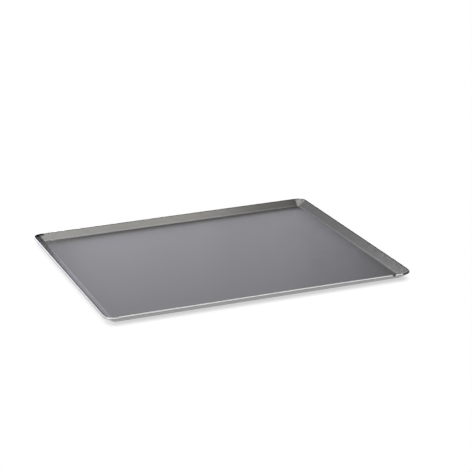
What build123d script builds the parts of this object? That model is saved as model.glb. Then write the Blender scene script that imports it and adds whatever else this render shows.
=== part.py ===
from build123d import *
import os
from math import cos, radians, sin

# A flat oven tray, pressed from one sheet of aluminium plate, with a low oblique edge
# all round and a thin non-stick coating on the inside. Lengths are in millimetres.
# The origin is the middle of the underside: X runs along the long side, Z points up.

# Sizes over the whole tray
RIM_LENGTH = 350.0
RIM_WIDTH = 320.0
TRAY_HEIGHT = 9.0

# Plate, and the edge folded up from it
PLATE_THICKNESS = 2.0
WALL_SLOPE = 33.0
FOLD_RADIUS = 1.5
FLOOR_CORNER_RADIUS = 0.8
ARRIS_RADIUS = 0.2

# Coating baked onto the inside
COATING_THICKNESS = 0.05
COATING_MARGIN = 0.1

# The wall rises from the floor at WALL_SLOPE degrees, and its edge is cut square to it
slope_cos = cos(radians(WALL_SLOPE))
slope_sin = sin(radians(WALL_SLOPE))
up_the_wall = Vector(slope_cos, slope_sin)
through_the_wall = Vector(slope_sin, -slope_cos)

# Rounding the arrises takes this much off the height and off each side of the sharp edge
arris_loss = ARRIS_RADIUS * (slope_cos + slope_sin - 1)

# Straight length of the wall, from the end of the fold to the sharp cut edge
fold_rise = FOLD_RADIUS * (1 - slope_cos)
wall_length = (TRAY_HEIGHT + arris_loss - PLATE_THICKNESS - fold_rise) / slope_sin

# How far the sharp outer edge stands out beyond the flat floor, and the floor that is left
outer_fold_radius = FOLD_RADIUS + PLATE_THICKNESS
edge_reach = outer_fold_radius * slope_sin + wall_length * slope_cos
flat_length = RIM_LENGTH + 2 * (arris_loss - edge_reach)
flat_width = RIM_WIDTH + 2 * (arris_loss - edge_reach)

# Centre of the fold, measured out from the edge of the flat floor and up from the underside
fold_centre = (0, PLATE_THICKNESS + FOLD_RADIUS)


def fold_arc(radius):
    """The arc of one face through the fold, from the flat floor to the foot of the wall."""
    return CenterArc(fold_centre, radius, -90, WALL_SLOPE)


def plate_section():
    """Section of the folded edge: fold, oblique wall and square cut edge with its arrises rounded."""
    inner_fold = fold_arc(FOLD_RADIUS)
    outer_fold = fold_arc(outer_fold_radius)
    inner_edge = inner_fold @ 1 + up_the_wall * wall_length
    outer_edge = inner_edge + through_the_wall * PLATE_THICKNESS
    wall = FilletPolyline(inner_fold @ 1, inner_edge, outer_edge, outer_fold @ 1, radius=ARRIS_RADIUS)
    root = Line(inner_fold @ 0, outer_fold @ 0)
    return make_face([inner_fold, wall, outer_fold, root])


def coating_section():
    """Section of the coating on the fold and the wall, ending just short of the rounded arris."""
    lower_fold = fold_arc(FOLD_RADIUS)
    upper_fold = fold_arc(FOLD_RADIUS - COATING_THICKNESS)
    coated_length = wall_length - ARRIS_RADIUS - COATING_MARGIN
    lower_edge = lower_fold @ 1 + up_the_wall * coated_length
    upper_edge = lower_edge - through_the_wall * COATING_THICKNESS
    wall = Polyline(lower_fold @ 1, lower_edge, upper_edge, upper_fold @ 1)
    root = Line(lower_fold @ 0, upper_fold @ 0)
    return make_face([lower_fold, wall, upper_fold, root])


def pressed_form(section, underside, thickness):
    """A flat sheet with a section carried round it: straight along each side, turned at each corner."""
    sheet = extrude(RectangleRounded(flat_length, flat_width, FLOOR_CORNER_RADIUS), thickness)
    form = [Pos(0, 0, underside) * sheet]
    upright_section = Plane.XZ * Pos(FLOOR_CORNER_RADIUS, 0) * section
    centre_x = flat_length / 2 - FLOOR_CORNER_RADIUS
    centre_y = flat_width / 2 - FLOOR_CORNER_RADIUS
    corner_centres = [(centre_x, centre_y), (-centre_x, centre_y), (-centre_x, -centre_y), (centre_x, -centre_y)]
    for corner, (x, y) in enumerate(corner_centres):
        place = Pos(x, y, 0) * Rot(0, 0, corner * 90)
        # The side before this corner runs along Y at the even corners and along X at the odd ones
        side_length = 2 * centre_y if corner % 2 == 0 else 2 * centre_x
        form.append(place * extrude(upright_section, side_length))
        form.append(place * revolve(upright_section, Axis.Z, 90))
    return Part() + form


def build_pressed_tray():
    """The aluminium tray: floor, fold, oblique walls and conical corners in one thickness of plate."""
    return pressed_form(plate_section(), 0, PLATE_THICKNESS)


def build_nonstick_coating():
    """The coating, face to face on the floor, the fold and the walls of the tray."""
    return pressed_form(coating_section(), PLATE_THICKNESS, COATING_THICKNESS)


os.makedirs("parts", exist_ok=True)
export_step(build_pressed_tray(), "parts/pressed_tray.step")
export_step(build_nonstick_coating(), "parts/nonstick_coating.step")
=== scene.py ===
"""Looks of a flat oven tray: pressed aluminium plate with a grey non-stick coating inside.

Both pieces are one shape rule: a flat sheet whose edge is folded up all round, straight along
the sides and conical at the corners. The rule is a Geometry Nodes tree that runs once for the
plate and once for the coating. Lengths are in metres and angles in degrees, unless a name says
otherwise. X runs along the long side, Y towards the back and Z up, from the middle of the
underside.
"""

from __future__ import annotations

import logging
import math
from dataclasses import asdict, dataclass, field
from enum import Enum
from typing import Any

import bpy
from mathutils import Matrix, Vector

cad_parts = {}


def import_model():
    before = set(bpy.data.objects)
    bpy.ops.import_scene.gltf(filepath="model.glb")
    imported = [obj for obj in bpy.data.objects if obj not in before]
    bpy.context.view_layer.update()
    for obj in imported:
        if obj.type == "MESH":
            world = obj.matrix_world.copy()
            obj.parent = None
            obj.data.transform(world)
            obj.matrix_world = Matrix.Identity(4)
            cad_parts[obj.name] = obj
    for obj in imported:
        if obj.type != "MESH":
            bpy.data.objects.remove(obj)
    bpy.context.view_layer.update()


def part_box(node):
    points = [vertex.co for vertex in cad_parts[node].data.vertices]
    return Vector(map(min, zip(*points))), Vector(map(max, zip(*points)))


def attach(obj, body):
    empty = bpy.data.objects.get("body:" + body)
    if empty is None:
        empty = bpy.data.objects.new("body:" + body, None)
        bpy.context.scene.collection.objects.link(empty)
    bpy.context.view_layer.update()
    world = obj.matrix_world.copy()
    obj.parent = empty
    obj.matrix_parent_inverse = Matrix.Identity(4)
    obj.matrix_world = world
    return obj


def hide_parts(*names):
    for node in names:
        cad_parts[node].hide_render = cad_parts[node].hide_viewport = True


LOG = logging.getLogger("cookie_sheet")
MILLIMETRE = 0.001
QUARTER_TURN = math.pi / 2
BODY = "root"
FULL_SPECULAR = 0.5
FROM_RIM = "from_rim"
RING = "ring"

Socket = bpy.types.NodeSocket
Colour = tuple[float, float, float]
Place = tuple[float, float, float]
WHITE: Colour = (1.0, 1.0, 1.0)


def opaque(colour: Colour) -> tuple[float, float, float, float]:
    """The colour with full cover, as a shader socket takes it."""
    return (*colour, 1.0)


class PatternSpace(Enum):
    """What a surface pattern is laid out on."""

    PLACE = "place on the object"
    WALL = "along the rim and up the wall"


class TreeWriter:
    """Writes nodes into one tree, so that a formula reads as calls and not as wiring."""

    def __init__(self, tree: bpy.types.NodeTree) -> None:
        """Starts writing into a tree.

        Args:
            tree: the geometry or shader tree that the nodes go into.
        """
        self.tree = tree

    def add(self, kind: str, settings: dict[str, Any] | None = None, **inputs: Any) -> bpy.types.Node:
        """Adds a node, sets its properties and feeds its inputs.

        Args:
            kind: Blender's name of the node type.
            settings: the node's own properties and their values.
            **inputs: sockets to feed, named with underscores for spaces.

        Returns:
            The new node.
        """
        node = self.tree.nodes.new(kind)
        for name, value in (settings or {}).items():
            setattr(node, name, value)
        for name, value in inputs.items():
            self.feed(node.inputs[name.replace("_", " ")], value)
        return node

    def feed(self, socket: Socket, value: Any) -> None:
        """Links a socket to another one, or gives it a plain value.

        Args:
            socket: the input to feed.
            value: another socket, or a value that the input takes.
        """
        if isinstance(value, Socket):
            self.tree.links.new(value, socket)
        else:
            socket.default_value = value

    def row(self, kind: str, *operands: Any, **settings: Any) -> bpy.types.Node:
        """Adds a node and feeds its inputs in order.

        Args:
            kind: Blender's name of the node type.
            *operands: one value or socket for each input.
            **settings: the node's own properties.

        Returns:
            The new node.
        """
        node = self.add(kind, settings)
        for place, operand in enumerate(operands):
            self.feed(node.inputs[place], operand)
        return node

    def math(self, operation: str, *operands: Any, clamp: bool = False) -> Socket:
        """The result of a Math node, kept between 0 and 1 if it is clamped."""
        return self.row("ShaderNodeMath", *operands, operation=operation, use_clamp=clamp).outputs[0]

    def total(self, *terms: Any) -> Socket:
        """Adds up numbers or sockets.

        Args:
            *terms: one or more of them.

        Returns:
            The socket with the sum.
        """
        result = terms[0]
        for term in terms[1:]:
            result = self.math("ADD", result, term)
        return result

    def product(self, *factors: Any) -> Socket:
        """Multiplies numbers or sockets.

        Args:
            *factors: one or more of them.

        Returns:
            The socket with the product.
        """
        result = factors[0]
        for factor in factors[1:]:
            result = self.math("MULTIPLY", result, factor)
        return result

    def less(self, first: Any, second: Any) -> Socket:
        """First minus second."""
        return self.math("SUBTRACT", first, second)

    def ramp(self, value: Any, width: Any) -> Socket:
        """0 up to zero, then rising with the value to 1 at the width."""
        return self.math("DIVIDE", value, width, clamp=True)

    def fall(self, value: Any, width: Any) -> Socket:
        """1 up to zero, then falling with the value to 0 at the width."""
        return self.math("SUBTRACT", 1.0, self.math("DIVIDE", value, width), clamp=True)

    def shaded(self, cover: Any, shade: float) -> Socket:
        """1 where the cover is 0, falling to the shade where it is 1."""
        return self.less(1.0, self.product(cover, 1.0 - shade))

    def point(self, x: Any, y: Any, z: Any) -> Socket:
        """A vector socket from three numbers or sockets."""
        return self.row("ShaderNodeCombineXYZ", x, y, z).outputs[0]

    def parts(self, vector: Socket) -> tuple[Socket, ...]:
        """The three components of a vector socket."""
        return tuple(self.add("ShaderNodeSeparateXYZ", Vector=vector).outputs)


def cleared(owner: bpy.types.Material | bpy.types.World) -> TreeWriter:
    """Gives a material or a world an empty node tree.

    Args:
        owner: the material or world.

    Returns:
        A writer of the tree.
    """
    owner.use_nodes = True
    owner.node_tree.nodes.clear()
    return TreeWriter(owner.node_tree)


class FoldedSheetTree:
    """The shape rule: a flat sheet with its edge folded up all round, as a Geometry Nodes tree.

    A section of the edge is drawn as a line whose corners are rounded. The section then goes
    round the flat floor: its rings turn about each corner's centre and slide along each side.
    The floor's two faces close the sheet.
    """

    NAME = "folded sheet"
    SIZES = (
        "Flat Length",
        "Flat Width",
        "Corner Radius",
        "Underside",
        "Thickness",
        "Fold Radius",
        "Wall Slope",
        "Wall Length",
        "Arris Radius",
        "Corner Fullness",
        "Wall Foot",
        "Wall Top",
        "Bow Start",
        "Bow End",
        "Bow Depth",
        "Corner Start",
        "Corner Drop",
        "Nick Place",
        "Nick Depth",
        "Nick Width",
    )
    COUNTS = ("Bend Steps", "Corner Steps", "Side Steps")
    MATERIALS = ("Face Material", "Edge Material")
    BORDER_SHARE = 0.5
    WALL_SUPPORT_SHARE = 0.03
    EDGE_SUPPORT_SHARE = 0.2
    MERGE_SHARE = 0.001
    SIDES = 4.0
    # The cut edge starts 4 rings after one rounding of the section and ends 7 after three.
    RINGS_TO_CUT = 4.0
    ROUNDINGS_TO_CUT_END = 3.0
    RINGS_TO_CUT_END = 7.0

    def __init__(self) -> None:
        """Makes the tree and its sockets, and writes the rule into it."""
        self.tree = bpy.data.node_groups.new(self.NAME, "GeometryNodeTree")
        sockets = self.tree.interface
        sockets.new_socket(name="Geometry", in_out="INPUT", socket_type="NodeSocketGeometry")
        for name in self.SIZES:
            sockets.new_socket(name=name, in_out="INPUT", socket_type="NodeSocketFloat")
        for name in self.COUNTS:
            sockets.new_socket(name=name, in_out="INPUT", socket_type="NodeSocketInt")
        for name in self.MATERIALS:
            sockets.new_socket(name=name, in_out="INPUT", socket_type="NodeSocketMaterial")
        sockets.new_socket(name="Geometry", in_out="OUTPUT", socket_type="NodeSocketGeometry")
        self.write = TreeWriter(self.tree)
        self.size = {s.name: s for s in self.write.add("NodeGroupInput").outputs}
        self._finish(*self._sheet(self._section()))

    def identifier(self, name: str) -> str:
        """Finds the identifier of an input, as a modifier needs it.

        Args:
            name: the input's name.

        Returns:
            The identifier.
        """
        for item in self.tree.interface.items_tree:
            if item.item_type == "SOCKET" and item.in_out == "INPUT" and item.name == name:
                return item.identifier
        raise KeyError(name)

    def _section(self) -> Socket:
        """Draws the section of the folded edge, from the top of the floor round to its underside.

        X is the distance out from the edge of the flat floor, and Y is the height.

        Returns:
            The curve, with its folds and arrises rounded.
        """
        w, size = self.write, self.size
        thickness, arris, length = size["Thickness"], size["Arris Radius"], size["Wall Length"]
        slope_cos = w.math("COSINE", size["Wall Slope"])
        slope_sin = w.math("SINE", size["Wall Slope"])
        half_tangent = w.math("TANGENT", w.math("DIVIDE", size["Wall Slope"], 2.0))
        outer_fold = w.total(size["Fold Radius"], thickness)
        top = w.total(size["Underside"], thickness)
        foot_out = w.product(size["Fold Radius"], slope_sin)
        foot_up = w.total(top, w.product(size["Fold Radius"], w.less(1.0, slope_cos)))

        def wall(up: Any, through: Any) -> Socket:
            """A point of the wall.

            Args:
                up: how far up the wall it lies, from the fold.
                through: how far into the wall it lies, from the inside.

            Returns:
                The socket with the place.
            """
            out = w.total(foot_out, w.product(up, slope_cos), w.product(through, slope_sin))
            high = w.less(w.total(foot_up, w.product(up, slope_sin)), w.product(through, slope_cos))
            return w.point(out, high, 0.0)

        border = w.product(size["Corner Radius"], -self.BORDER_SHARE)
        low = w.product(length, self.WALL_SUPPORT_SHARE)
        high = w.less(w.product(length, 1.0 - self.WALL_SUPPORT_SHARE), arris)
        flat_edge = w.less(thickness, w.product(arris, 2.0))
        near = w.total(arris, w.product(flat_edge, self.EDGE_SUPPORT_SHARE))
        far = w.less(thickness, near)
        stations = (
            (w.point(border, top, 0.0), 0.0),
            (w.point(w.product(size["Fold Radius"], half_tangent), top, 0.0), size["Fold Radius"]),
            (wall(low, 0.0), 0.0),
            (wall(high, 0.0), 0.0),
            (wall(length, 0.0), arris),
            (wall(length, near), 0.0),
            (wall(length, far), 0.0),
            (wall(length, thickness), arris),
            (wall(high, thickness), 0.0),
            (wall(low, thickness), 0.0),
            (w.point(w.product(outer_fold, half_tangent), size["Underside"], 0.0), outer_fold),
            (w.point(border, size["Underside"], 0.0), 0.0),
        )
        line = w.add("GeometryNodeMeshLine", Count=len(stations))
        placed = w.add(
            "GeometryNodeSetPosition",
            Geometry=line.outputs["Mesh"],
            Position=self._choose("VECTOR", [place for place, _ in stations]),
        )
        curve = w.add("GeometryNodeMeshToCurve", Mesh=placed.outputs["Geometry"])
        rounded = w.add(
            "GeometryNodeFilletCurve",
            {"mode": "POLY"},
            Curve=curve.outputs["Curve"],
            Count=size["Bend Steps"],
            Radius=self._choose("FLOAT", [radius for _, radius in stations]),
        )
        return rounded.outputs["Curve"]

    def _choose(self, kind: str, values: list[Any]) -> Socket:
        """A field that gives each point of a line its own value.

        Args:
            kind: the type of the values.
            values: one number or socket for each point, in order.

        Returns:
            The socket with the field.
        """
        node = self.write.add("GeometryNodeIndexSwitch", {"data_type": kind})
        while len(node.index_switch_items) < len(values):
            node.index_switch_items.new()
        self.write.feed(node.inputs["Index"], self.write.add("GeometryNodeInputIndex").outputs["Index"])
        for place, value in enumerate(values):
            self.write.feed(node.inputs[str(place)], value)
        return node.outputs[0]

    def _place(self, station: Any, out: Any, high: Any) -> Socket:
        """The place of one point of a ring that goes round the floor.

        Args:
            station: the number of the ring's section round the floor, from the back right corner.
            out: the point's distance out from the edge of the flat floor.
            high: its height.

        Returns:
            The socket with the place.
        """
        w, size = self.write, self.size
        quarter_steps = w.total(size["Corner Steps"], size["Side Steps"])
        quarter = w.math("FLOOR", w.math("DIVIDE", station, quarter_steps))
        step = w.less(station, w.product(quarter, quarter_steps))
        turned = w.ramp(step, size["Corner Steps"])
        even = w.ramp(w.less(step, size["Corner Steps"]), size["Side Steps"])
        slid = w.less(0.5, w.product(w.math("COSINE", w.product(even, math.pi)), 0.5))
        angle = w.product(w.total(quarter, turned), QUARTER_TURN)
        reach = w.product(w.total(size["Corner Radius"], out), self._fullness(angle))

        def centre(flat: Socket, wave: str) -> Socket:
            """One coordinate of the corner's centre, on its way along the side to the next corner's.

            Args:
                flat: the floor's size along this coordinate.
                wave: the wave that follows it round the floor.

            Returns:
                The socket with the coordinate.
            """
            far = w.less(w.product(flat, 0.5), size["Corner Radius"])
            turns = [w.total(quarter, corner, 0.5) for corner in (0.0, 1.0)]
            here, ahead = (w.math(wave, w.product(turn, QUARTER_TURN)) for turn in turns)
            between = w.total(w.product(here, w.less(1.0, slid)), w.product(ahead, slid))
            return w.product(between, math.sqrt(2.0), far)

        along = w.total(centre(size["Flat Length"], "COSINE"), w.product(reach, w.math("COSINE", angle)))
        back = w.total(centre(size["Flat Width"], "SINE"), w.product(reach, w.math("SINE", angle)))
        return w.point(along, back, w.less(high, self._sink(along, angle, out)))

    def _fullness(self, angle: Socket) -> Socket:
        """How far a corner stands out beyond a circle, as a share of its radius.

        Args:
            angle: the direction from the corner's centre.

        Returns:
            The socket with the share, which is 1 where a side begins.
        """
        w, full = self.write, self.size["Corner Fullness"]
        waves = [w.math("ABSOLUTE", w.math(wave, angle)) for wave in ("COSINE", "SINE")]
        spread = w.total(*(w.math("POWER", wave, full) for wave in waves))
        return w.math("POWER", spread, w.math("DIVIDE", -1.0, full))

    def _sink(self, along: Any, angle: Any, out: Any) -> Socket:
        """How far a point of the front wall lies below its true place, as the real rim does.

        Args:
            along: the point's place along the front.
            angle: the direction that its section faces.
            out: its distance out from the edge of the flat floor.

        Returns:
            The socket with the depth, which is 0 on the other walls and at the foot.
        """
        w, size = self.write, self.size
        front = w.math("MULTIPLY", w.math("SINE", angle), -1.0, clamp=True)
        wall = w.less(size["Wall Top"], size["Wall Foot"])
        share = w.ramp(w.less(out, size["Wall Foot"]), wall)
        bow = w.ramp(w.less(along, size["Bow Start"]), w.less(size["Bow End"], size["Bow Start"]))
        step = w.ramp(w.less(size["Corner Start"], along), size["Nick Width"])
        nick = w.fall(w.math("ABSOLUTE", w.less(along, size["Nick Place"])), size["Nick Width"])
        depth = w.total(
            w.product(bow, bow, size["Bow Depth"]),
            w.product(step, size["Corner Drop"]),
            w.product(nick, size["Nick Depth"]),
        )
        return w.product(front, share, depth)

    def _sheet(self, section: Socket) -> tuple[Socket, Socket]:
        """Carries the section round the floor and closes the sheet with the floor's two faces.

        Args:
            section: the curve of the section.

        Returns:
            The geometry, and a field that picks the faces of the cut edge.
        """
        w, size = self.write, self.size
        index = w.add("GeometryNodeInputIndex").outputs["Index"]
        count = w.add("GeometryNodeAttributeDomainSize", {"component": "CURVE"}, Geometry=section)
        rings = count.outputs["Point Count"]
        stations = w.product(w.total(size["Corner Steps"], size["Side Steps"]), self.SIDES)
        length = w.add("GeometryNodeSplineParameter").outputs["Length"]
        place = w.add("GeometryNodeInputPosition").outputs["Position"]
        to_rim = w.total(
            w.product(size["Corner Radius"], self.BORDER_SHARE),
            w.product(size["Fold Radius"], size["Wall Slope"]),
            size["Wall Length"],
        )

        def of_section(kind: str, value: Socket, ring: Any) -> Socket:
            """A value of the section at one of its points."""
            return w.row("GeometryNodeSampleIndex", section, value, ring, data_type=kind).outputs["Value"]

        def marked(mesh: Socket, name: str, value: Any) -> Socket:
            """The mesh, with a value kept at each of its points."""
            settings = {"data_type": "FLOAT", "domain": "POINT"}
            return w.row("GeometryNodeStoreNamedAttribute", mesh, True, name, value, **settings).outputs[0]

        def placed(mesh: Socket, station: Any, ring: Any) -> Socket:
            """Puts the points of a mesh in place, marked with their ring and distance from the rim.

            Args:
                mesh: the mesh.
                station: the number of each point's section round the floor.
                ring: the number of its ring.

            Returns:
                The socket with the mesh.
            """
            out, high, _ = w.parts(of_section("FLOAT_VECTOR", place, ring))
            far = w.less(to_rim, of_section("FLOAT", length, ring))
            kept = marked(marked(mesh, FROM_RIM, far), RING, ring)
            target = self._place(station, out, high)
            return w.add("GeometryNodeSetPosition", Geometry=kept, Position=target).outputs["Geometry"]

        band = w.add("GeometryNodeMeshGrid", Vertices_X=w.total(stations, 1.0), Vertices_Y=rings)
        station = w.math("FLOOR", w.math("DIVIDE", w.total(index, 0.5), rings))
        folded = placed(band.outputs["Mesh"], station, w.less(index, w.product(station, rings)))
        faces = [w.add("GeometryNodeFlipFaces", Mesh=folded).outputs["Mesh"]]
        for end in (0, w.less(rings, 1.0)):
            disc = w.add("GeometryNodeMeshCircle", {"fill_type": "NGON"}, Vertices=stations)
            faces.append(placed(disc.outputs["Mesh"], index, end))
        faces[-1] = w.add("GeometryNodeFlipFaces", Mesh=faces[-1]).outputs["Mesh"]
        joined = w.add("GeometryNodeJoinGeometry")
        for piece in faces:
            w.feed(joined.inputs["Geometry"], piece)
        closed = w.add(
            "GeometryNodeMergeByDistance",
            Geometry=joined.outputs["Geometry"],
            Distance=w.product(size["Arris Radius"], self.MERGE_SHARE),
        )
        kept_ring = w.add("GeometryNodeInputNamedAttribute", {"data_type": "FLOAT"}, Name=RING)
        number = kept_ring.outputs["Attribute"]
        first = w.total(size["Bend Steps"], self.RINGS_TO_CUT)
        last = w.total(w.product(size["Bend Steps"], self.ROUNDINGS_TO_CUT_END), self.RINGS_TO_CUT_END)
        cut = w.product(w.math("GREATER_THAN", number, first), w.math("LESS_THAN", number, last))
        return closed.outputs["Geometry"], cut

    def _finish(self, sheet: Socket, cut: Socket) -> None:
        """Smooths the sheet and gives its faces their materials.

        Args:
            sheet: the closed sheet.
            cut: the field that picks the faces of the cut edge.
        """
        w = self.write
        smooth = w.add("GeometryNodeSetShadeSmooth", Geometry=sheet)
        real = w.add("GeometryNodeRealizeInstances", Geometry=smooth.outputs["Geometry"])
        faced = w.add(
            "GeometryNodeSetMaterial",
            Geometry=real.outputs["Geometry"],
            Material=self.size["Face Material"],
        )
        edged = w.add(
            "GeometryNodeSetMaterial",
            Geometry=faced.outputs["Geometry"],
            Selection=cut,
            Material=self.size["Edge Material"],
        )
        w.add("NodeGroupOutput", Geometry=edged.outputs["Geometry"])


@dataclass(frozen=True)
class PlateShape:
    """The sizes that the tray's plate and its coating share."""

    length: float
    width: float
    height: float
    thickness: float = 2.0 * MILLIMETRE
    wall_slope: float = 33.0
    fold_radius: float = 1.5 * MILLIMETRE
    corner_radius: float = 0.8 * MILLIMETRE
    arris_radius: float = 0.2 * MILLIMETRE
    corner_fullness: float = 2.25

    @property
    def slope(self) -> float:
        """The slope of the wall, in radians."""
        return math.radians(self.wall_slope)

    @property
    def arris_loss(self) -> float:
        """What rounding the arrises takes off the height and off each side."""
        return self.arris_radius * (math.cos(self.slope) + math.sin(self.slope) - 1.0)

    @property
    def wall_length(self) -> float:
        """The straight length of the wall, from the fold to the sharp cut edge."""
        fold_rise = self.fold_radius * (1.0 - math.cos(self.slope))
        return (self.height + self.arris_loss - self.thickness - fold_rise) / math.sin(self.slope)

    @property
    def edge_reach(self) -> float:
        """How far the edge stands out beyond the flat floor, over the rounded arris."""
        return self.wall_foot + self.wall_length * math.cos(self.slope) - self.arris_loss

    @property
    def wall_foot(self) -> float:
        """How far out from the flat floor the wall is straight from."""
        return (self.fold_radius + self.thickness) * math.sin(self.slope)

    @property
    def flat_length(self) -> float:
        """The length of the flat floor."""
        return self.length - 2.0 * self.edge_reach

    @property
    def flat_width(self) -> float:
        """The width of the flat floor."""
        return self.width - 2.0 * self.edge_reach

    def sizes(self) -> dict[str, float]:
        """The sizes that every piece shares, under the names of the rule's inputs."""
        return {
            "Flat Length": self.flat_length,
            "Flat Width": self.flat_width,
            "Corner Radius": self.corner_radius,
            "Corner Fullness": self.corner_fullness,
            "Wall Slope": self.slope,
            "Wall Foot": self.wall_foot,
            "Wall Top": self.edge_reach,
        }


@dataclass(frozen=True)
class SurfaceNoise:
    """One layer of fine unevenness: how large its features are, and how much it does."""

    size: float
    amount: float
    stretch: float = 1.0
    space: PatternSpace = PatternSpace.PLACE
    detail: float = 2.0

    def field(self, write: TreeWriter) -> Socket:
        """Writes the noise.

        Args:
            write: the writer of the material's tree.

        Returns:
            A socket that runs from 0 to 1 over the surface.
        """
        place = write.add("ShaderNodeTexCoord").outputs["Object"]
        if self.space is PatternSpace.WALL:
            x, y, _ = write.parts(place)
            place = write.point(write.total(x, y), from_rim(write), 0.0)
        laid = write.add("ShaderNodeMapping", Vector=place)
        fine = 1.0 / self.size
        laid.inputs["Scale"].default_value = (fine / self.stretch, fine, fine)
        on = laid.outputs["Vector"]
        return write.add("ShaderNodeTexNoise", Vector=on, Scale=1.0, Detail=self.detail).outputs["Fac"]

    def swing(self, write: TreeWriter) -> Socket:
        """The noise about zero, as far up and down as its amount."""
        return write.product(write.less(self.field(write), 0.5), 2.0 * self.amount)


def lengthwise(write: TreeWriter) -> Socket:
    """The place along the tray's length, from its middle."""
    return write.parts(write.add("ShaderNodeTexCoord").outputs["Object"])[0]


def from_rim(write: TreeWriter) -> Socket:
    """The distance down from the rim along the sheet, which is below zero on the cut edge."""
    return write.add("ShaderNodeAttribute", {"attribute_name": FROM_RIM}).outputs["Fac"]


@dataclass(frozen=True)
class Mark:
    """A patch of painted shade on the sheet, darker down to its shade."""

    shade: float

    def cover(self, write: TreeWriter) -> Socket:
        """Where the mark is.

        Args:
            write: the writer of the material's tree.

        Returns:
            A socket with 0 off the mark and 1 on it.
        """
        raise NotImplementedError

    def clear(self, write: TreeWriter) -> Socket:
        """1 away from the mark, falling to its shade on it."""
        return write.shaded(self.cover(write), self.shade)


@dataclass(frozen=True)
class Spot(Mark):
    """A small round patch of painted shade on the sheet."""

    place: Place
    reach: float
    fade: float

    def cover(self, write: TreeWriter) -> Socket:
        """1 within the spot's reach, fading at its outer part.

        Args:
            write: the writer of the material's tree.

        Returns:
            The socket with the cover.
        """
        here = write.add("ShaderNodeTexCoord").outputs["Object"]
        apart = write.row("ShaderNodeVectorMath", here, Vector(self.place), operation="DISTANCE")
        return write.ramp(write.less(self.reach, apart.outputs["Value"]), self.fade)


@dataclass(frozen=True)
class Bead(Mark):
    """A dark line of painted shade along the rim, wider on the left wall."""

    width: float
    run_start: float
    run_width: float

    FADED_OUT_AT = 1.5

    def cover(self, write: TreeWriter) -> Socket:
        """1 at the rim, fading out at one and a half times the line's width.

        Args:
            write: the writer of the material's tree.

        Returns:
            The socket with the cover.
        """
        on_left = write.ramp(write.less(self.run_start, lengthwise(write)), MILLIMETRE)
        width = write.total(self.width, write.product(on_left, self.run_width))
        past = write.math("DIVIDE", from_rim(write), width)
        return write.math("SUBTRACT", self.FADED_OUT_AT, past, clamp=True)


@dataclass(frozen=True)
class FoldShade(Mark):
    """Painted shade on the floor, darkening towards the fold of the right wall."""

    fold: float
    reach: float

    def cover(self, write: TreeWriter) -> Socket:
        """1 at the fold, fading slowly over the floor and at once on the wall.

        Args:
            write: the writer of the material's tree.

        Returns:
            The socket with the cover.
        """
        on_floor = write.fall(write.less(self.fold, lengthwise(write)), self.reach)
        off_wall = write.fall(write.less(lengthwise(write), self.fold), MILLIMETRE)
        return write.math("MINIMUM", on_floor, off_wall)


@dataclass(frozen=True)
class SheetFinish:
    """The finish of one face of a sheet: its colour, sheen, fine unevenness and patches of painted shade.
    """

    name: str
    colour: Colour
    metallic: float
    roughness: float
    ior: float
    relief: tuple[SurfaceNoise, ...]
    sheen_drift: SurfaceNoise
    colour_drift: SurfaceNoise
    marks: tuple[Mark, ...]

    def material(self) -> bpy.types.Material:
        """Builds the material.

        Returns:
            The finished material.
        """
        made = bpy.data.materials.new(self.name)
        write = cleared(made)
        shader = write.add("ShaderNodeBsdfPrincipled", Metallic=self.metallic, IOR=self.ior)
        write.feed(shader.inputs["Roughness"], self._sheen(write))
        tone = self._tone(write)
        # Painted shade: the marks darken the colour and dim the reflection alike.
        if self.marks:
            clear = write.product(*(mark.clear(write) for mark in self.marks))
            tone = write.product(tone, clear)
            write.feed(shader.inputs["Specular IOR Level"], write.product(FULL_SPECULAR, clear))
        toned = write.row("ShaderNodeVectorMath", Vector(self.colour), operation="SCALE")
        write.feed(toned.inputs["Scale"], tone)
        write.feed(shader.inputs["Base Color"], toned.outputs[0])
        write.feed(shader.inputs["Normal"], self._normal(write))
        write.add("ShaderNodeOutputMaterial", Surface=shader.outputs["BSDF"])
        return made

    def _sheen(self, write: TreeWriter) -> Socket:
        """The roughness, a little more and less from place to place."""
        return write.total(self.roughness, self.sheen_drift.swing(write))

    def _tone(self, write: TreeWriter) -> Socket:
        """How light the colour is from place to place, where 1 is the colour itself."""
        return write.total(1.0, self.colour_drift.swing(write))

    def _normal(self, write: TreeWriter) -> Socket:
        """Lays the relief's layers over each other, as one chain of bumps.

        Args:
            write: the writer of the material's tree.

        Returns:
            The socket with the normal.
        """
        normal: Socket | None = None
        for layer in self.relief:
            bump = write.add("ShaderNodeBump", Strength=1.0, Distance=layer.amount)
            write.feed(bump.inputs["Height"], layer.field(write))
            if normal is not None:
                write.feed(bump.inputs["Normal"], normal)
            normal = bump.outputs["Normal"]
        return normal


@dataclass(frozen=True)
class FilmFinish(SheetFinish):
    """A baked-on film, streaked where it was folded, with a painted highlight along the foot of the walls.
    """

    foot_place: float
    foot_width: float
    foot_gain: float
    streaks: SurfaceNoise
    streak_reach: float

    def _sheen(self, write: TreeWriter) -> Socket:
        """The roughness, streaked on the walls."""
        on_wall = write.ramp(write.less(self.streak_reach, from_rim(write)), MILLIMETRE)
        return write.total(super()._sheen(write), write.product(on_wall, self.streaks.swing(write)))

    def _tone(self, write: TreeWriter) -> Socket:
        """The colour's lightness, raised along the foot of the walls as a painted highlight."""
        off_foot = write.math("ABSOLUTE", write.less(from_rim(write), self.foot_place))
        foot_highlight = write.product(write.fall(off_foot, self.foot_width), self.foot_gain)
        return write.total(super()._tone(write), foot_highlight)


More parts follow.
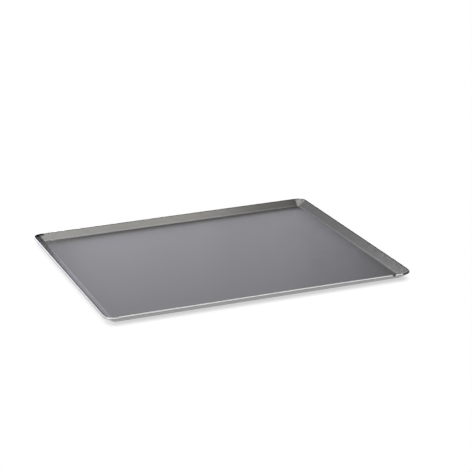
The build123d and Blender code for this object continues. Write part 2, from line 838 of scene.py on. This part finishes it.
@dataclass(frozen=True)
class CutEdgeFinish(SheetFinish):
    """A sheared edge: burnished bright by the blade on its upper part and torn dull on its lower part."""

    thickness: float
    lip_width: float
    lip_shade: float
    bright_share: float
    fade_share: float
    dull_shade: float
    dull_roughness: float
    waver: SurfaceNoise

    def _dull(self, write: TreeWriter) -> Socket:
        """Where the edge is torn dull: 0 on its bright part and 1 on its dull part."""
        through = write.math("DIVIDE", from_rim(write), -self.thickness)
        past = write.less(write.total(through, self.waver.swing(write)), self.bright_share)
        return write.ramp(past, self.fade_share)

    def _sheen(self, write: TreeWriter) -> Socket:
        """The roughness, higher on the dull part."""
        rise = write.product(self._dull(write), self.dull_roughness - self.roughness)
        return write.total(super()._sheen(write), rise)

    def _tone(self, write: TreeWriter) -> Socket:
        """The colour's lightness, lower on the dull part, and lower on the lip at the inner arris as
        painted shade.

        Args:
            write: the writer of the material's tree.

        Returns:
            The socket with the lightness.
        """
        past_lip = write.math("DIVIDE", from_rim(write), -self.lip_width)
        on_lip = write.ramp(write.less(1.0, past_lip), self.fade_share)
        dull = write.shaded(self._dull(write), self.dull_shade)
        return write.product(super()._tone(write), dull, write.shaded(on_lip, self.lip_shade))


# Painted shade in the nick of the front rim, on the film and on the cut edge.
NICK_PAINTED_SHADE = Spot(
    shade=0.1,
    place=(0.1525, -0.159, 0.0083),
    reach=2.3 * MILLIMETRE,
    fade=0.5 * MILLIMETRE,
)
# Painted shade on the cut edge at the front right corner: a darker reflection of the dark side it faces.
CORNER_PAINTED_SHADE = Spot(
    shade=0.1,
    place=(0.1705, -0.157, 0.0085),
    reach=8.5 * MILLIMETRE,
    fade=1.0 * MILLIMETRE,
)
# Painted shade: a dark line along the rim, wider on the left wall.
RIM_PAINTED_SHADE = Bead(
    shade=0.05,
    width=0.9 * MILLIMETRE,
    run_start=-160.0 * MILLIMETRE,
    run_width=2.4 * MILLIMETRE,
)
# Painted shade on the floor beside the right fold.
RIGHT_FOLD_SHADE = FoldShade(shade=0.68, fold=162.5 * MILLIMETRE, reach=14.0 * MILLIMETRE)

FILM_FINISH = FilmFinish(
    name="grey non-stick film",
    colour=(0.045, 0.045, 0.046),
    metallic=0.0,
    roughness=0.22,
    ior=1.33,
    relief=(
        SurfaceNoise(size=1.6 * MILLIMETRE, amount=0.004 * MILLIMETRE),
        SurfaceNoise(size=0.35 * MILLIMETRE, amount=0.001 * MILLIMETRE),
    ),
    sheen_drift=SurfaceNoise(size=18 * MILLIMETRE, amount=0.03),
    colour_drift=SurfaceNoise(size=30 * MILLIMETRE, amount=0.05),
    marks=(NICK_PAINTED_SHADE, RIM_PAINTED_SHADE, RIGHT_FOLD_SHADE),
    foot_place=11.3 * MILLIMETRE,
    foot_width=1.6 * MILLIMETRE,
    foot_gain=1.0,
    streaks=SurfaceNoise(size=0.9 * MILLIMETRE, amount=0.12, stretch=9.0, space=PatternSpace.WALL),
    streak_reach=12.0 * MILLIMETRE,
)
PLATE_FINISH = SheetFinish(
    name="rolled aluminium",
    colour=(0.42, 0.42, 0.42),
    metallic=1.0,
    roughness=0.34,
    ior=1.5,
    relief=(SurfaceNoise(size=0.25 * MILLIMETRE, amount=0.0012 * MILLIMETRE, stretch=40.0),),
    sheen_drift=SurfaceNoise(size=0.9 * MILLIMETRE, amount=0.05, stretch=30.0),
    colour_drift=SurfaceNoise(size=25 * MILLIMETRE, amount=0.03),
    marks=(),
)
EDGE_FINISH = CutEdgeFinish(
    name="cut aluminium edge",
    colour=(0.72, 0.72, 0.72),
    metallic=1.0,
    roughness=0.26,
    ior=1.5,
    relief=(
        SurfaceNoise(
            size=0.12 * MILLIMETRE,
            amount=0.003 * MILLIMETRE,
            stretch=30.0,
            space=PatternSpace.WALL,
        ),
    ),
    sheen_drift=SurfaceNoise(size=1.2 * MILLIMETRE, amount=0.06, stretch=6.0, space=PatternSpace.WALL),
    colour_drift=SurfaceNoise(size=3 * MILLIMETRE, amount=0.08, stretch=4.0, space=PatternSpace.WALL),
    marks=(NICK_PAINTED_SHADE, CORNER_PAINTED_SHADE),
    thickness=PlateShape.thickness,
    lip_width=0.28 * MILLIMETRE,
    lip_shade=0.5,
    bright_share=0.5,
    fade_share=0.15,
    dull_shade=0.36,
    dull_roughness=0.5,
    waver=SurfaceNoise(size=2.5 * MILLIMETRE, amount=0.12, stretch=1.5, space=PatternSpace.WALL),
)


@dataclass(frozen=True)
class FrontRim:
    """How the pressed front rim strays from its true line.

    It bows down towards the right, drops where the left corner begins, and has a nick near the
    right corner.
    """

    bow_start: float = 10.0 * MILLIMETRE
    bow_end: float = 153.0 * MILLIMETRE
    bow_depth: float = 0.85 * MILLIMETRE
    corner_start: float = -160.0 * MILLIMETRE
    corner_drop: float = 0.5 * MILLIMETRE
    nick_place: float = 153.5 * MILLIMETRE
    nick_depth: float = 0.6 * MILLIMETRE
    nick_width: float = 1.6 * MILLIMETRE

    def sizes(self) -> dict[str, float]:
        """The sizes under the names of the rule's inputs."""
        return {name.replace("_", " ").title(): size for name, size in asdict(self).items()}


@dataclass
class FoldedPiece:
    """A piece made by the folded sheet rule, with its own thickness, height and edge."""

    name: str
    node: str
    slot: str
    plate: PlateShape
    face_finish: SheetFinish
    edge_finish: SheetFinish
    bend_steps: int = 6
    corner_steps: int = 32
    side_steps: int = 128
    piece: bpy.types.Object | None = field(default=None, init=False)

    def sizes(self) -> dict[str, float]:
        """The named inputs of the rule that set this piece's shape.

        Returns:
            A value for each size input.
        """
        raise NotImplementedError

    def build(self, rule: FoldedSheetTree) -> bpy.types.Object:
        """Makes the piece's mesh with the rule.

        Args:
            rule: the Geometry Nodes tree of the folded sheet.

        Returns:
            The object, with a plain mesh and no modifier.
        """
        counts = {
            "Bend Steps": self.bend_steps,
            "Corner Steps": self.corner_steps,
            "Side Steps": self.side_steps,
        }
        face = self.face_finish.material()
        edge = face if self.edge_finish is self.face_finish else self.edge_finish.material()
        materials = {"Face Material": face, "Edge Material": edge}
        self.piece = bpy.data.objects.new(self.name, bpy.data.meshes.new(self.name))
        bpy.context.scene.collection.objects.link(self.piece)
        modifier = self.piece.modifiers.new(rule.NAME, "NODES")
        modifier.node_group = rule.tree
        sizes = {**self.plate.sizes(), **self.sizes(), **FrontRim().sizes()}
        for name, value in {**sizes, **counts, **materials}.items():
            modifier[rule.identifier(name)] = value
        seen = self.piece.evaluated_get(bpy.context.evaluated_depsgraph_get())
        mesh = bpy.data.meshes.new_from_object(seen)
        self.piece.modifiers.remove(modifier)
        empty = self.piece.data
        self.piece.data = mesh
        bpy.data.meshes.remove(empty)
        mesh.name = self.name
        return self.piece

    def dress(self) -> None:
        """Puts the piece on its body, in the place of its node, which it hides."""
        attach(self.piece, BODY)
        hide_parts(self.node)
        LOG.info("%s: %d faces", self.name, len(self.piece.data.polygons))


@dataclass
class PressedTray(FoldedPiece):
    """The aluminium plate: floor, fold, oblique walls, conical corners and cut edge."""

    def sizes(self) -> dict[str, float]:
        """The plate's own sizes."""
        return {
            "Underside": 0.0,
            "Thickness": self.plate.thickness,
            "Fold Radius": self.plate.fold_radius,
            "Wall Length": self.plate.wall_length,
            "Arris Radius": self.plate.arris_radius,
        }


@dataclass
class NonstickCoating(FoldedPiece):
    """The coating: a thin film on the inside, ending just short of the rounded arris."""

    thickness: float = 0.05 * MILLIMETRE
    margin: float = 0.1 * MILLIMETRE
    arris_radius: float = 0.015 * MILLIMETRE

    def sizes(self) -> dict[str, float]:
        """The film's own sizes, face to face with the plate."""
        return {
            "Underside": self.plate.thickness,
            "Thickness": self.thickness,
            "Fold Radius": self.plate.fold_radius - self.thickness,
            "Wall Length": self.plate.wall_length - self.plate.arris_radius - self.margin,
            "Arris Radius": self.arris_radius,
        }


class Facing(Enum):
    """Which way a softbox shines, as the turn that aims a lamp there."""

    DOWN = (0.0, 0.0, 0.0)
    FORWARD = (-QUARTER_TURN, 0.0, 0.0)
    RIGHT = (0.0, -QUARTER_TURN, 0.0)


@dataclass(frozen=True)
class Softbox:
    """An evenly lit rectangle out of the camera's sight."""

    name: str
    facing: Facing
    middle: Place
    width: float
    height: float
    strength: float
    tint: Colour

    def build(self) -> bpy.types.Object:
        """Makes the lamp.

        Returns:
            The lamp's object, at whose face a strength of 1 looks white.
        """
        data = bpy.data.lights.new(self.name, "AREA")
        data.shape = "RECTANGLE"
        data.size, data.size_y = self.width, self.height
        data.energy = math.pi * self.width * self.height * self.strength
        data.color = self.tint
        lamp = bpy.data.objects.new(self.name, data)
        lamp.location = self.middle
        lamp.rotation_euler = self.facing.value
        lamp.visible_camera = False
        bpy.context.scene.collection.objects.link(lamp)
        return lamp


SOFTBOXES = (
    Softbox("overhead softbox", Facing.DOWN, (0.0, 0.6, 1.1), 0.3, 0.9, 10.5, (1.02, 1.01, 1.0)),
    Softbox("middle overhead softbox", Facing.DOWN, (0.0, 0.3, 1.115), 0.3, 0.3, 2.7, (0.98, 0.98, 0.9)),
    Softbox("right overhead softbox", Facing.DOWN, (0.3, 0.3, 1.105), 0.3, 0.3, 10.9, (1.05, 1.02, 0.94)),
    Softbox("far right overhead softbox", Facing.DOWN, (0.6, 0.3, 1.11), 0.3, 0.3, 1.6, (1.1, 1.03, 0.85)),
    Softbox("left softbox", Facing.RIGHT, (-1.3, -0.6, 0.3), 0.6, 0.6, 9.6, (1.1, 1.05, 1.03)),
    Softbox("high back softbox", Facing.FORWARD, (-0.3, 1.3, 1.05), 0.3, 0.3, 20.0, (1.08, 1.05, 1.05)),
    Softbox("back card", Facing.FORWARD, (0.3, 1.295, 0.3), 0.3, 0.6, 0.52, (0.95, 0.92, 1.12)),
    Softbox("small back card", Facing.FORWARD, (0.15, 1.29, 0.15), 0.3, 0.3, 0.72, (0.93, 0.82, 1.18)),
    Softbox("right back card", Facing.FORWARD, (0.6, 1.285, 0.45), 0.3, 0.3, 0.4, (0.94, 0.87, 1.2)),
    Softbox("low back card", Facing.FORWARD, (0.0, 1.3, 0.15), 1.5, 0.3, 0.53, (0.95, 0.9, 1.15)),
    Softbox("left back card", Facing.FORWARD, (-0.3, 1.28, 0.15), 0.6, 0.3, 0.9, (0.9, 0.87, 1.18)),
)


def flat_sheet(
    name: str, title: str, corners: list[Place], finish: bpy.types.Material
) -> bpy.types.Object:
    """Makes one flat face for the stage.

    Args:
        name: the object's name.
        title: the mesh's name.
        corners: its corners, in order.
        finish: its material.

    Returns:
        The object, linked into the scene.
    """
    mesh = bpy.data.meshes.new(title)
    mesh.from_pydata(corners, [], [tuple(range(len(corners)))])
    mesh.materials.append(finish)
    sheet = bpy.data.objects.new(name, mesh)
    bpy.context.scene.collection.objects.link(sheet)
    return sheet


@dataclass(frozen=True)
class Flag:
    """A pale upright card out of the camera's sight, which dims what the tray's right side mirrors."""

    left: float = 0.63
    behind: float = 1.32
    width: float = 1.5
    height: float = 1.5
    shade: Colour = (0.92, 0.92, 0.92)

    def build(self) -> bpy.types.Object:
        """Makes the card.

        Returns:
            The card's object.
        """
        right = self.left + self.width
        outline = ((self.left, 0.0), (right, 0.0), (right, self.height), (self.left, self.height))
        corners = [(along, self.behind, high) for along, high in outline]
        flag = flat_sheet("grey_flag", "grey flag", corners, self._cloth())
        flag.visible_camera = False
        return flag

    def _cloth(self) -> bpy.types.Material:
        """Makes the card's matt cloth.

        Returns:
            The finished material.
        """
        made = bpy.data.materials.new("grey cloth")
        write = cleared(made)
        matt = write.add("ShaderNodeBsdfDiffuse", Color=opaque(self.shade))
        write.add("ShaderNodeOutputMaterial", Surface=matt.outputs["BSDF"])
        return made


def white_seen(write: TreeWriter) -> Socket:
    """Picks the rays that show the background: from the camera, off a shiny surface or through glass.

    Args:
        write: the writer of the material's or the world's tree.

    Returns:
        The socket with 1 for such a ray and 0 for others.
    """
    ray = write.add("ShaderNodeLightPath").outputs
    kinds = (ray["Is Camera Ray"], ray["Is Glossy Ray"], ray["Is Transmission Ray"])
    return write.math("MINIMUM", write.total(*kinds), 1.0)


@dataclass
class Studio:
    """The plain pale table, the white surroundings and their soft light."""

    table_side: float = 14.0
    table_colour: Colour = (0.92, 0.92, 0.92)
    veil_share: float = 0.51
    veil_inside: Place = (0.162, 0.147, 0.0)
    veil_spread: Place = (1.4, 1.0, 1.0)
    veil_start: float = 6.0 * MILLIMETRE
    veil_end: float = 20.0 * MILLIMETRE
    fill: Colour = (0.19, 0.2, 0.23)
    softboxes: tuple[Softbox, ...] = SOFTBOXES

    def table(self) -> bpy.types.Object:
        """The table top, a large plain sheet that the tray stands on.

        Returns:
            The table's object.
        """
        half = self.table_side / 2.0
        corners = [(-half, -half, 0.0), (half, -half, 0.0), (half, half, 0.0), (-half, half, 0.0)]
        table = flat_sheet("table", "table", corners, self._table_finish())
        return table

    def _table_finish(self) -> bpy.types.Material:
        """Makes the table's finish: matt white, with pale shadows, and plain white further off.

        Returns:
            The finished material.
        """
        made = bpy.data.materials.new("white table")
        write = cleared(made)
        matt = write.add("ShaderNodeBsdfDiffuse", Color=opaque(self.table_colour))
        veil = write.add("ShaderNodeEmission", Color=opaque(WHITE), Strength=1.0)
        share = write.product(white_seen(write), self._veil_cover(write))
        mix = write.row("ShaderNodeMixShader", share, matt.outputs["BSDF"], veil.outputs["Emission"])
        write.add("ShaderNodeOutputMaterial", Surface=mix.outputs[0])
        return made

    def _veil_cover(self, write: TreeWriter) -> Socket:
        """How much of the table the white veil hides, growing with the distance from the tray.

        Args:
            write: the writer of the table's material.

        Returns:
            The socket with the share.
        """
        away = write.add("ShaderNodeTexCoord").outputs["Object"]
        for operation, *operand in (
            ("ABSOLUTE",),
            ("SUBTRACT", self.veil_inside),
            ("MAXIMUM", (0.0, 0.0, 0.0)),
            ("MULTIPLY", self.veil_spread),
        ):
            step = write.row("ShaderNodeVectorMath", away, *map(Vector, operand), operation=operation)
            away = step.outputs["Vector"]
        far = write.row("ShaderNodeVectorMath", away, operation="LENGTH")
        share = write.add(
            "ShaderNodeMapRange",
            {"interpolation_type": "SMOOTHSTEP"},
            Value=far.outputs["Value"],
            From_Min=self.veil_start,
            From_Max=self.veil_end,
            To_Min=self.veil_share,
            To_Max=1.0,
        )
        return share.outputs["Result"]

    def surroundings(self) -> bpy.types.World:
        """The light all round: an even fill, and plain white where the background is seen.

        Returns:
            The scene's world.
        """
        world = bpy.data.worlds.new("white studio")
        write = cleared(world)
        seen = write.add("ShaderNodeBackground", Color=opaque(WHITE), Strength=1.0)
        around = write.add("ShaderNodeBackground", Color=opaque(self.fill), Strength=1.0)
        mix = write.row("ShaderNodeMixShader", white_seen(write), around.outputs[0], seen.outputs[0])
        write.add("ShaderNodeOutputWorld", Surface=mix.outputs[0])
        bpy.context.scene.world = world
        return world


@dataclass(frozen=True)
class PhotoCamera:
    """The camera, where the photograph was taken from."""

    lens_mm: float = 135.0
    place: Place = (-0.6175, -1.824, 0.639)
    heading: float = 19.468
    tilt: float = 17.617
    roll: float = -2.034

    def build(self) -> bpy.types.Object:
        """Makes the camera and hands it to the scene.

        Returns:
            The camera's object.
        """
        heading, tilt, roll = (math.radians(angle) for angle in (self.heading, self.tilt, self.roll))
        flat = math.cos(tilt)
        ahead = Vector((math.sin(heading) * flat, math.cos(heading) * flat, -math.sin(tilt)))
        level = Vector((math.cos(heading), -math.sin(heading), 0.0))
        upright = level.cross(ahead)
        right = level * math.cos(roll) + upright * math.sin(roll)
        above = upright * math.cos(roll) - level * math.sin(roll)
        data = bpy.data.cameras.new("photo camera")
        data.lens = self.lens_mm
        camera = bpy.data.objects.new("photo camera", data)
        turned = Matrix((right, above, -ahead)).transposed().to_4x4()
        camera.matrix_world = Matrix.Translation(self.place) @ turned
        bpy.context.scene.collection.objects.link(camera)
        bpy.context.scene.camera = camera
        return camera


def main() -> None:
    """Builds the camera, the tray, its coating and the studio."""
    logging.basicConfig(level=logging.INFO, format="%(name)s: %(message)s")
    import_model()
    low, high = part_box("pressed_tray")
    plate = PlateShape(length=high.x - low.x, width=high.y - low.y, height=high.z - low.z)
    PhotoCamera().build()
    rule = FoldedSheetTree()
    coating = "nonstick_coating"
    pieces = (
        PressedTray("tray_plate", "pressed_tray", "bare_aluminium", plate, PLATE_FINISH, EDGE_FINISH),
        NonstickCoating("coating_film", coating, coating, plate, FILM_FINISH, FILM_FINISH),
    )
    for piece in pieces:
        piece.build(rule)
        piece.dress()
    bpy.data.node_groups.remove(rule.tree)
    studio = Studio()
    studio.table()
    studio.surroundings()
    Flag().build()
    for softbox in studio.softboxes:
        softbox.build()
    bpy.context.scene.view_settings.view_transform = "Standard"


if __name__ == "__main__":
    main()
